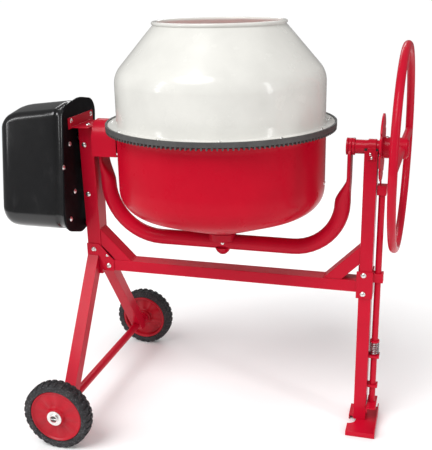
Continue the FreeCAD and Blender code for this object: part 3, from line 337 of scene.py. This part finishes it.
def sweep(sections):
    """Rings from (centre, wide axis, thick axis, half-width, half-thickness, power).

    A power of 1 gives an ellipse, and smaller powers come nearer to a rectangle.
    """
    count, rings = 40, []
    for centre, wide, thick, half_wide, half_thick, power in sections:
        ring = []
        for k in range(count):
            angle = 2 * math.pi * k / count
            c, s = math.cos(angle), math.sin(angle)
            u = math.copysign(abs(c) ** power, c) * half_wide
            v = math.copysign(abs(s) ** power, s) * half_thick
            ring.append(centre + wide * u + thick * v)
        rings.append(ring)
    return rings


def soften(node, width):
    """Rounds the edges of a carried-over CAD node; its mesh stays as it is."""
    obj = NODES[node]
    weld = obj.modifiers.new("weld", "WELD")
    weld.merge_threshold = 1e-5
    flat = obj.modifiers.new("planar", "DECIMATE")
    flat.decimate_type = "DISSOLVE"
    flat.angle_limit = math.radians(0.6)
    bevel = obj.modifiers.new("bevel", "BEVEL")
    bevel.width = width
    bevel.segments = 2
    bevel.limit_method = "ANGLE"
    bevel.angle_limit = math.radians(32)
    bevel.harden_normals = True
    normals = obj.modifiers.new("normals", "WEIGHTED_NORMAL")
    normals.keep_sharp = True


# ---------------------------------------------------------------- camera, floor, light

def build_camera():
    """The reference view: above the drum's mouth, from the handwheel's side of the front."""
    spot = (0.64425, -2.0229, 1.2558)
    right = Vector((0.96112, 0.27554, -0.01808)).normalized()
    ahead = Vector((-0.26772, 0.91377, -0.30555)).normalized()
    up = right.cross(ahead).normalized()
    data = bpy.data.cameras.new("camera")
    data.lens = 60.8
    data.sensor_width = 36
    data.clip_end = 60
    camera = bpy.data.objects.new("camera", data)
    turn = Matrix((right, up, -ahead)).transposed().to_4x4()
    camera.matrix_world = Matrix.Translation(spot) @ turn
    bpy.context.scene.collection.objects.link(camera)
    bpy.context.scene.camera = camera


def area_light(name, spot, target, size, power):
    """A white softbox at spot that faces target."""
    data = bpy.data.lights.new(name, "AREA")
    data.shape = "RECTANGLE"
    data.size, data.size_y = size
    data.energy = power
    light = bpy.data.objects.new(name, data)
    light.location = spot
    light.rotation_mode = "QUATERNION"
    light.rotation_quaternion = (Vector(target) - Vector(spot)).to_track_quat("-Z", "Y")
    bpy.context.scene.collection.objects.link(light)


def build_world():
    """White to the camera, softer as fill light, and dim in reflections so colours stay deep."""
    world = bpy.data.worlds.new("studio")
    world.use_nodes = True
    nodes, links = world.node_tree.nodes, world.node_tree.links
    path = nodes.new("ShaderNodeLightPath")
    back = nodes["Background"]
    back.inputs["Color"].default_value = (1, 1, 1, 1)
    fill = 0.64
    level = None
    for kind, amount in (("Is Camera Ray", 0.38), ("Is Glossy Ray", -0.44)):
        share = nodes.new("ShaderNodeMath")
        share.operation = "MULTIPLY_ADD"
        links.new(path.outputs[kind], share.inputs[0])
        share.inputs[1].default_value = amount
        if level is None:
            share.inputs[2].default_value = fill
        else:
            links.new(level, share.inputs[2])
        level = share.outputs[0]
    links.new(level, back.inputs["Strength"])
    bpy.context.scene.world = world


def build_floor():
    """A pale disc just under the tyres and the foot."""
    radius, drop, corners = 2.7, 0.0006, 96
    mesh = bpy.data.meshes.new("floor")
    rim = [(radius * math.cos(a), radius * math.sin(a), -drop)
           for a in (2 * math.pi * k / corners for k in range(corners))]
    mesh.from_pydata(rim, [], [tuple(range(corners))])
    floor = bpy.data.objects.new("floor", mesh)
    bpy.context.scene.collection.objects.link(floor)
    t = Tree("floor_pale")
    t.set(Base_Color=t.ramp(t.noise(3.0, 3.0), 0.2, 0.8, (0.92, 0.92, 0.92), (0.94, 0.94, 0.94)),
          Roughness=0.85)
    mesh.materials.append(t.material)


def build_lights():
    """A broad sun, three softboxes and a small lamp that lifts the drum's dark inside."""
    key = bpy.data.lights.new("key", "SUN")
    key.energy = 1.9
    key.angle = math.radians(34)
    lamp = bpy.data.objects.new("key", key)
    lamp.rotation_euler = (math.radians(36), 0, math.radians(-24))
    bpy.context.scene.collection.objects.link(lamp)
    area_light("left_softbox", (-2.6, -2.2, 2.0), (0, 0, 0.75), (0.35, 2.2), 20)
    area_light("right_softbox", (3.0, -1.3, 1.7), (0, 0, 0.7), (0.3, 2.2), 16)
    area_light("back_softbox", (-0.8, 3.0, 2.6), (0, 0, 0.8), (2.2, 0.5), 18)
    bounce = bpy.data.lights.new("drum_bounce", "POINT")
    bounce.energy = 1.1
    bounce.shadow_soft_size = 0.1
    inside = bpy.data.objects.new("drum_bounce", bounce)
    inside.location = at(0, 0, TILT_Z)
    bpy.context.scene.collection.objects.link(inside)


def build_stage():
    """The floor, world and lights, and plain colours with no filmic curve."""
    build_floor()
    build_world()
    build_lights()
    view = bpy.context.scene.view_settings
    view.view_transform = "Standard"
    view.look = "None"


# ---------------------------------------------------------------- drum

def arc(centre, radius, start, end, steps):
    """Points (radius, height) along an arc, angles in degrees."""
    return [(centre[0] + radius * math.cos(math.radians(start + (end - start) * k / steps)),
             centre[1] + radius * math.sin(math.radians(start + (end - start) * k / steps)))
            for k in range(steps + 1)]


def corner_arc(a, b, c, radius, steps):
    """The rounding of corner b between a and c, as points."""
    a, b, c = Vector(a), Vector(b), Vector(c)
    back, ahead = (a - b).normalized(), (c - b).normalized()
    half = math.acos(back.dot(ahead)) / 2
    centre = b + (back + ahead).normalized() * (radius / math.sin(half))
    first = b + back * (radius / math.tan(half)) - centre
    last = b + ahead * (radius / math.tan(half)) - centre
    turn = first.angle_signed(last)
    return [tuple(centre + Matrix.Rotation(-turn * k / steps, 2) @ first)
            for k in range(steps + 1)]


def spaced(a, b, steps):
    """Points strictly between a and b."""
    return [tuple(Vector(a).lerp(Vector(b), k / (steps + 1))) for k in range(1, steps + 1)]


def turned(outline):
    """A closed (radius, height) outline in millimetres, turned about the drum's axis."""
    profile = [(r * MM, z * MM) for r, z in outline]
    return lathe(profile, 192, Matrix.Translation((AXIS_X, 0, 0)))


def build_drum():
    """The white cone with its rolled rim, and the red pan, each with its sheet's inside."""
    upper = [(313.6, 884.2), (313.6, 886.9), (296, 887.0), (291, 888.5), (289.2, 892)]
    shoulder = corner_arc((289, 900), (289, 1021), (178, 1150), 70, 16)
    upper += spaced(upper[-1], shoulder[0], 3) + shoulder + spaced(shoulder[-1], (179.5, 1147.6), 5)
    rim = arc((178, 1152), 5, -25, 215, 14)
    upper += [(179.2, 1147.2)] + rim
    inner = corner_arc((286, 900), (286, 1019.8), (175, 1149), 67, 16)[::-1]
    upper += [(175.6, 1147.4)] + spaced((175.6, 1147.4), inner[0], 5) + inner
    upper += [(286, 892), (286, 884.2)]
    new_piece("drum_upper_shell", *turned(upper), MATERIALS["drum_white"], "drum", "drum_white",
              ["upper_drum"], 40)

    lower = [(0.5, 592), (118, 592)]
    lower += corner_arc((0, 592), (120, 592), (291, 657), 40, 6)[1:]
    wall = corner_arc((120, 592), (291, 657), (291, 880), 67, 16)
    lower += spaced(lower[-1], wall[0], 3) + wall + spaced(wall[-1], (291, 874), 5)
    lower += [(291.2, 876.5), (293, 879.2), (296.5, 880.2), (313.6, 880.2)]
    inside = [(313.6, 882.9), (294, 882.9), (289.6, 881), (288, 877)]
    wall_in = corner_arc((120, 595), (288, 660), (288, 880), 64, 16)[::-1]
    inside += wall_in + [(120, 595.2), (0.5, 595)]
    new_piece("drum_lower_shell", *turned(lower + inside), MATERIALS["drum_red"], "drum",
              "drum_red", ["lower_drum"], 40)


def build_gear_gap_shade():
    """A near-black band behind the crown gear's teeth: a dark sheet that paints the shade in the
    gaps between them.
    """
    # the band's near-black colour is painted shade, not grease
    band = [(292.4, 869.2), (298.4, 869.2), (298.4, 877.2), (292.4, 877.2)]
    new_piece("gear_gap_shade_web", *turned(band), GAP_SHADE_IRON, "drum", "gear_iron", (), 40)


# ---------------------------------------------------------------- cradle

def build_yoke():
    """The bent tube with its ends pressed flat around the trunnions."""
    y_axis = Vector((0, 1, 0))
    flat_wide, flat_thick, flat_power = 31, 5, 0.3
    sections = []

    def add(x, z, heading, wide, thick, power):
        """heading is the path's direction in the XZ plane, in degrees."""
        across = Vector((-math.sin(math.radians(heading)), 0, math.cos(math.radians(heading))))
        sections.append((at(x, 0, z), y_axis, across, wide * MM, thick * MM, power))

    def eye(tube_x, ear_x, start, flat, radius):
        """Sections up one ear, from the round tube to the top of the eye around the trunnion.

        The tube is round at height start and pressed flat at height flat.
        """
        rows = [(start, tube_x, YOKE_R, YOKE_R, 1.0)]
        for k in range(1, 9):
            share = k / 8
            soft = share * share * (3 - 2 * share)
            rows.append((start + (flat - start) * share, tube_x + (ear_x - tube_x) * soft,
                         YOKE_R + (flat_wide - YOKE_R) * soft,
                         YOKE_R + (flat_thick - YOKE_R) * soft,
                         1 - 0.66 * soft))
        for z in (780, 795, 808):
            rows.append((z, ear_x, flat_wide, flat_thick, flat_power))
        low_angle = -35 if radius > 30 else -20
        for k in range(9):
            angle = math.radians(low_angle + (90 - low_angle) * k / 8)
            rows.append((TILT_Z + radius * math.sin(angle), ear_x,
                         max(radius * math.cos(angle), 1.5), flat_thick, flat_power))
        return rows

    for z, x, wide, thick, power in eye(-350, -360, 694, 765, 31)[::-1]:
        add(x, z, -90, wide, thick, power)
    left_bend, right_bend = 162, 138
    for k in range(1, 13):
        angle = math.radians(180 + 90 * k / 12)
        add(-188 + left_bend * math.cos(angle), 694 + left_bend * math.sin(angle),
            -90 + 90 * k / 12, YOKE_R, YOKE_R, 1.0)
    for x in (-120, -60, 0, 60, 130):
        add(x, 532, 0, YOKE_R, YOKE_R, 1.0)
    for k in range(0, 12):
        angle = math.radians(270 + 90 * k / 12)
        add(206 + right_bend * math.cos(angle), 670 + right_bend * math.sin(angle), 90 * k / 12,
            YOKE_R, YOKE_R, 1.0)
    for z, x, wide, thick, power in eye(344, 360, 670, 745, 23):
        add(x, z, 90, wide, thick, power)
    new_piece("yoke_tube", *loft(sweep(sections)), MATERIALS["frame_red"], "cradle", "frame_red",
              ["yoke"], 40)


def build_handwheel():
    """The round ring that the spokes carry."""
    ring_radius, tube_radius = 0.266, 0.011
    normal = HANDWHEEL_YAW @ Vector((1, 0, 0))
    rings = []
    for k in range(160):
        angle = 2 * math.pi * k / 160
        out = HANDWHEEL_YAW @ Vector((0, math.cos(angle), math.sin(angle)))
        centre = at(HANDWHEEL_X, 0, TILT_Z) + out * ring_radius
        rings.append([centre + (out * math.cos(t) + normal * math.sin(t)) * tube_radius
                      for t in (2 * math.pi * m / 28 for m in range(28))])
    new_piece("handwheel_ring", *loft(rings, closed_path=True), MATERIALS["frame_red"], "cradle",
              "frame_red", ["handwheel_rim"])


def weld_bead(name, points, radius, body, closed=False):
    """A rippled seam of weld along a line of points."""
    count, rings = 10, []
    total = len(points)
    for i, point in enumerate(points):
        after = points[(i + 1) % total] if closed or i + 1 < total else point
        before = points[i - 1] if closed or i > 0 else point
        along = (after - before).normalized()
        side = along.orthogonal().normalized()
        other = along.cross(side)
        size = radius * (1 + 0.16 * math.sin(i * 2.1) + 0.06 * math.sin(i * 0.9))
        if not closed and i in (0, total - 1):
            size *= 0.4
        rings.append([point + (side * math.cos(t) + other * math.sin(t)) * size
                      for t in (2 * math.pi * m / count for m in range(count))])
    new_piece(name, *loft(rings, closed_path=closed), MATERIALS["frame_red"], body, "frame_red")


def circle_points(centre, normal, radius, count):
    """Points round a circle."""
    normal = Vector(normal).normalized()
    side = normal.orthogonal().normalized()
    other = normal.cross(side)
    return [centre + (side * math.cos(a) + other * math.sin(a)) * radius
            for a in (2 * math.pi * k / count for k in range(count))]


def line_points(a, b):
    """Points from a to b, about 1.6 mm apart and at least three."""
    spacing = 0.0016
    count = max(3, int((b - a).length / spacing))
    return [a.lerp(b, k / (count - 1)) for k in range(count)]


# ---------------------------------------------------------------- wheels

def wheel_matrix(side):
    """A wheel's place, for side -1 or 1 of the axle; its Z points outwards."""
    turn = Matrix.Rotation(math.radians(-90 * side), 4, "X")
    return Matrix.Translation(at(-394, 342 * side, 100)) @ turn


def build_tyre(name, body, place):
    """A carcass with two rows of staggered tread blocks."""
    carcass = [(77.2, -17), (79, -20.2), (84, -21), (91, -20.4), (95, -18), (97, -13),
               (97.4, 0), (97, 13), (95, 18), (91, 20.4), (84, 21), (79, 20.2), (77.2, 17)]
    verts, faces = lathe([(r * MM, z * MM) for r, z in carcass], 120, place)
    blocks = 30
    half = math.pi / blocks * 0.62
    outer = [(90, -20.9), (95.8, -19.6), (98.9, -16.2), (99.9, -10), (99.95, -1.6)]
    inner = [(95, -1.6), (90, -12)]
    count = len(outer) + len(inner)
    for k in range(blocks):
        for flip in (1, -1):
            middle = 2 * math.pi * (k + (0.5 if flip < 0 else 0)) / blocks
            row = []
            for shift in (-half, -half * 0.88, half * 0.88, half):
                low = 0.7 if abs(shift) == half else 0
                for r, z in outer:
                    a = middle + shift * (1.0 if r > 99 else 0.9)
                    r = (r - low) * MM
                    row.append(place @ Vector((r * math.cos(a), r * math.sin(a), z * flip * MM)))
                for r, z in inner:
                    a = middle + shift
                    row.append(place @ Vector((r * MM * math.cos(a), r * MM * math.sin(a),
                                               z * flip * MM)))
            rings = [row[i * count:(i + 1) * count] for i in range(4)]
            more_verts, more_faces = loft(rings)
            start = len(verts)
            verts = verts + more_verts
            faces = faces + [tuple(i + start for i in face) for face in more_faces]
    new_piece(name + "_block_tyre", verts, faces, MATERIALS["tyre"], body, "tyre",
              [name + "_tyre"], 34)


def ribs(r, angle):
    """Shallow pressed rays between a wheel's hub and its rim, in metres along the axle."""
    hub_end, rim_start = 0.0275, 0.0685
    if not hub_end < r < rim_start:
        return 0.0
    fade = min(1, (r - hub_end) / 0.006, (rim_start - r) / 0.008)
    wave = abs((angle * 9 / math.pi) % 2 - 1) * 2 - 1
    return -0.0011 * fade * (1 - max(-1, min(1, wave * 1.8)))


def build_disc(name, body, place):
    """A moulded wheel disc: hub, ribbed web and stepped rim."""
    disc = [(10.06, -23), (22, -23), (24, -21), (24, -8), (27, -5), (62, -3), (66, -5),
            (69, -17), (71, -19), (76.9, -19), (76.9, 16.5), (75.6, 17.6), (73.2, 17.4),
            (71.6, 15.6), (69.5, 13.6), (66.5, 13), (31, 13.5), (27, 16), (25.2, 23.5),
            (24, 24.8), (22.6, 25), (10.06, 25)]
    fine = []
    for a, b in zip(disc, disc[1:]):
        fine.append(a)
        if math.dist(a, b) > 8:
            fine += spaced(a, b, int(math.dist(a, b) / 5))
    fine.append(disc[-1])
    new_piece(name + "_disc", *lathe([(r * MM, z * MM) for r, z in fine], 216, place, ribs),
              WHEEL_RED, body, "frame_red", [name + "_wheel_disc"], 38)


def build_wheels():
    for name, side, body in (("front", -1, "front_wheel"), ("rear", 1, "rear_wheel")):
        build_tyre(name, body, wheel_matrix(side))
        build_disc(name, body, wheel_matrix(side))


def build_axle_ends():
    """Dark turned axle ends with a split pin through each retaining collar."""
    for name, side in (("front", -1), ("rear", 1)):
        place = wheel_matrix(side)
        cap = [(0.02, 28), (0.02, 31.1), (3, 31.0), (7.4, 30.5), (9.2, 29.9), (9.7, 29.2),
               (9.7, 28)]
        new_piece(name + "_axle_end", *lathe([(r * MM, z * MM) for r, z in cap], 48, place),
                  MATERIALS["gear_iron"], "frame", "steel", (), 40)
        rings = []
        for k in range(9):
            spot = place @ Vector(((-11.5 + 23 * k / 8) * MM, 0, 30.35 * MM))
            across = place.to_3x3() @ Vector((0, 1, 0))
            up = place.to_3x3() @ Vector((0, 0, 1))
            size = 1.15 * MM * (0.8 if k in (0, 8) else 1)
            rings.append([spot + (across * math.cos(t) + up * math.sin(t)) * size
                          for t in (2 * math.pi * m / 14 for m in range(14))])
        new_piece(name + "_split_pin", *loft(rings), MATERIALS["zinc"], "frame", "zinc")


# ---------------------------------------------------------------- tilt lock

def build_spring():
    """The lock's coil, wound inside the spring node's box; it is baked in place and rides on no
    body.
    """
    lowest, highest = (Vector(corner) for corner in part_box("lock_spring"))
    wire, turns, steps = 1.6 * MM, 6, 32
    centre = (lowest + highest) / 2
    radius = (highest.x - lowest.x) / 2 - wire
    low, high = lowest.z + wire, highest.z - wire
    rise = (high - low) / (turns * steps)
    sections = []
    for k in range(turns * steps + 1):
        angle = 2 * math.pi * k / steps
        out = Vector((math.cos(angle), math.sin(angle), 0))
        along = Vector((-out.y * radius, out.x * radius, rise * steps / (2 * math.pi))).normalized()
        middle = Vector((centre.x, centre.y, low + rise * k)) + out * radius
        sections.append((middle, out, along.cross(out), wire, wire, 1))
    coil = new_piece("lock_spring_coil", *loft(sweep(sections)), MATERIALS["spring_steel"], None,
                     "spring_steel", ["lock_spring"], 50)
    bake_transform(coil)


# ---------------------------------------------------------------- housing

# the cover's outline seen along X: (y, z, corner radius) in millimetres
HOUSING = ((-98, 926, 35), (8, 942, 160), (116, 922, 45), (62, 560, 60), (-35, 540, 60),
           (-143, 575, 58))


def inset(corners, amount):
    """The outline with every side moved inwards."""
    result = []
    for i, (y, z, radius) in enumerate(corners):
        here = Vector((y, z))
        back = (Vector(corners[i - 1][:2]) - here).normalized()
        ahead = (Vector(corners[(i + 1) % len(corners)][:2]) - here).normalized()
        half = math.acos(back.dot(ahead)) / 2
        moved = here + (back + ahead).normalized() * (amount / math.sin(half))
        result.append((moved.x, moved.y, max(5, radius - amount)))
    return result


def build_housing():
    """A moulded cover: lip, stepped shoulder, falling top and a soft outer end."""
    left, back = -655, -436
    depth = back - left
    wall_inset, end_start, end_depth, end_rounding = 7.2, -615, 36.5, 40
    steps = [(-436.0, 6.0), (-436.8, 4.6), (-444.0, 4.6), (-445.5, 6.0), (-446.5, 11.0),
             (-448.5, 12.5), (-460.0, 12.5), (-462.0, 11.6), (-464.5, 9.0), (-468.0, 7.6),
             (-473.0, wall_inset)]
    steps += [(x, wall_inset) for x in (-500.0, -540.0, -585.0, -600.0, -608.0, end_start)]
    for k in range(1, 13):
        angle = math.radians(7.5 * k)
        steps.append((end_start - end_depth * math.sin(angle),
                      wall_inset + end_rounding * (1 - math.cos(angle))))
    rings = []
    for x, amount in steps:
        near_end = max(0, 1 - (x - left) / 70) ** 2
        fall = 24 * (1 - (x - left) / depth) + 22 * near_end
        corners = [(y, z + 12 * near_end if z < 740 else z - fall, r) for y, z, r in HOUSING]
        rings.append([at(x, p.x, p.y) for p in rounded(inset(corners, amount), 10)])
    hub, hub_radius, hub_edge = Vector((-50, 712)), 58, 16
    crown, hub_height = 0.0012, 0.0021
    last = rings[-1]
    middle = sum(last, Vector()) / len(last)
    for share in (0.93, 0.86, 0.78, 0.7, 0.62, 0.54, 0.46, 0.38, 0.3, 0.22, 0.14, 0.07, 0.02):
        ring = []
        for p in last:
            q = middle.lerp(p, share)
            away = (Vector((q.y / MM, q.z / MM)) - hub).length
            swell = max(0.0, min(1.0, (hub_radius - away) / hub_edge))
            q.x -= crown * (1 - share * share) + hub_height * swell * swell * (3 - 2 * swell)
            ring.append(q)
        rings.append(ring)
    verts, faces = loft(rings, cap=False)
    count = len(rings[0])
    faces.append(tuple((len(rings) - 1) * count + k for k in range(count)))
    cover = new_piece("housing_shell", verts, faces, MATERIALS["housing_black"], "frame",
                      "housing_black", ["housing_cover"], 50)
    thick = cover.modifiers.new("sheet", "SOLIDIFY")
    thick.thickness = 0.0025
    thick.offset = -1


# ---------------------------------------------------------------- carried-over CAD nodes

# the width of each node's rounded edges, in metres
SOFT_EDGES = {
    "cross_beam": 0.0022, "operator_column": 0.0022, "drive_column": 0.0022, "front_leg": 0.0022,
    "rear_leg": 0.0022, "beam_braces": 0.0009, "junction_plates": 0.0008, "column_bracket": 0.0009,
    "rod_guides": 0.0008, "foot_plate": 0.0009, "housing_hanger": 0.0009, "pinion_guard": 0.0008,
    "latch_head": 0.0008, "pedal_tread": 0.0009, "lock_disc": 0.0006, "handwheel_hub": 0.001,
    "housing_back_plate": 0.0008, "switch_box": 0.0022, "trunnion_strap": 0.0006,
    "clamp_collars": 0.0006, "left_trunnion": 0.0005, "right_trunnion": 0.0005,
    "mixing_blades": 0.0008, "axle_collars": 0.0008, "wheel_retainers": 0.0005,
    "motor_bracket": 0.0008, "start_button": 0.0012, "stop_button": 0.0012,
}


def dress_nodes():
    """Every CAD node gets its slot's material, and the listed ones get rounded edges."""
    for name, obj in NODES.items():
        dress(obj, MATERIALS[SLOT_OF[name]])
        obj.data.set_sharp_from_angle(angle=math.radians(35))
    for name, width in SOFT_EDGES.items():
        soften(name, width)


# ---------------------------------------------------------------- small details

def build_welds():
    """Beads where the beam, braces, hubs and spokes meet what they are welded to."""
    half, low, high = 24, 420, 452
    for name, x in (("beam_weld_left", -377), ("beam_weld_right", 398)):
        corners = [at(x, -half, low), at(x, half, low), at(x, half, high), at(x, -half, high)]
        line = []
        for k in range(4):
            line += line_points(corners[k], corners[(k + 1) % 4])[:-1]
        weld_bead(name, line, 0.0016, "frame", True)
    weld_bead("hub_weld", circle_points(at(508.3, 0, TILT_Z), (1, 0, 0), 0.0225, 60), 0.0013,
              "cradle", True)
    weld_bead("yoke_hub_weld", circle_points(at(0, 0, 560.5), (0, 0, 1), 0.0403, 80), 0.0016,
              "cradle", True)
    for name, x, z in (("brace_weld_left_low", -283, 453), ("brace_weld_left_high", -378, 548),
                       ("brace_weld_right_low", 299, 453), ("brace_weld_right_high", 399, 553)):
        weld_bead(name, line_points(at(x, -22, z), at(x, 22, z)), 0.0017, "frame")
    for side in (-1, 1):
        out = HANDWHEEL_YAW @ Vector((0, side, 0))
        weld_bead("spoke_weld_%s" % ("rear" if side > 0 else "front"),
                  circle_points(at(HANDWHEEL_X, 0, TILT_Z) + out * 0.2535, out, 0.0101, 40),
                  0.001, "cradle", True)


build_camera()
build_stage()
dress_nodes()
build_drum()
build_gear_gap_shade()
build_yoke()
build_handwheel()
build_wheels()
build_axle_ends()
build_spring()
build_housing()
build_welds()

bpy.context.view_layer.update()
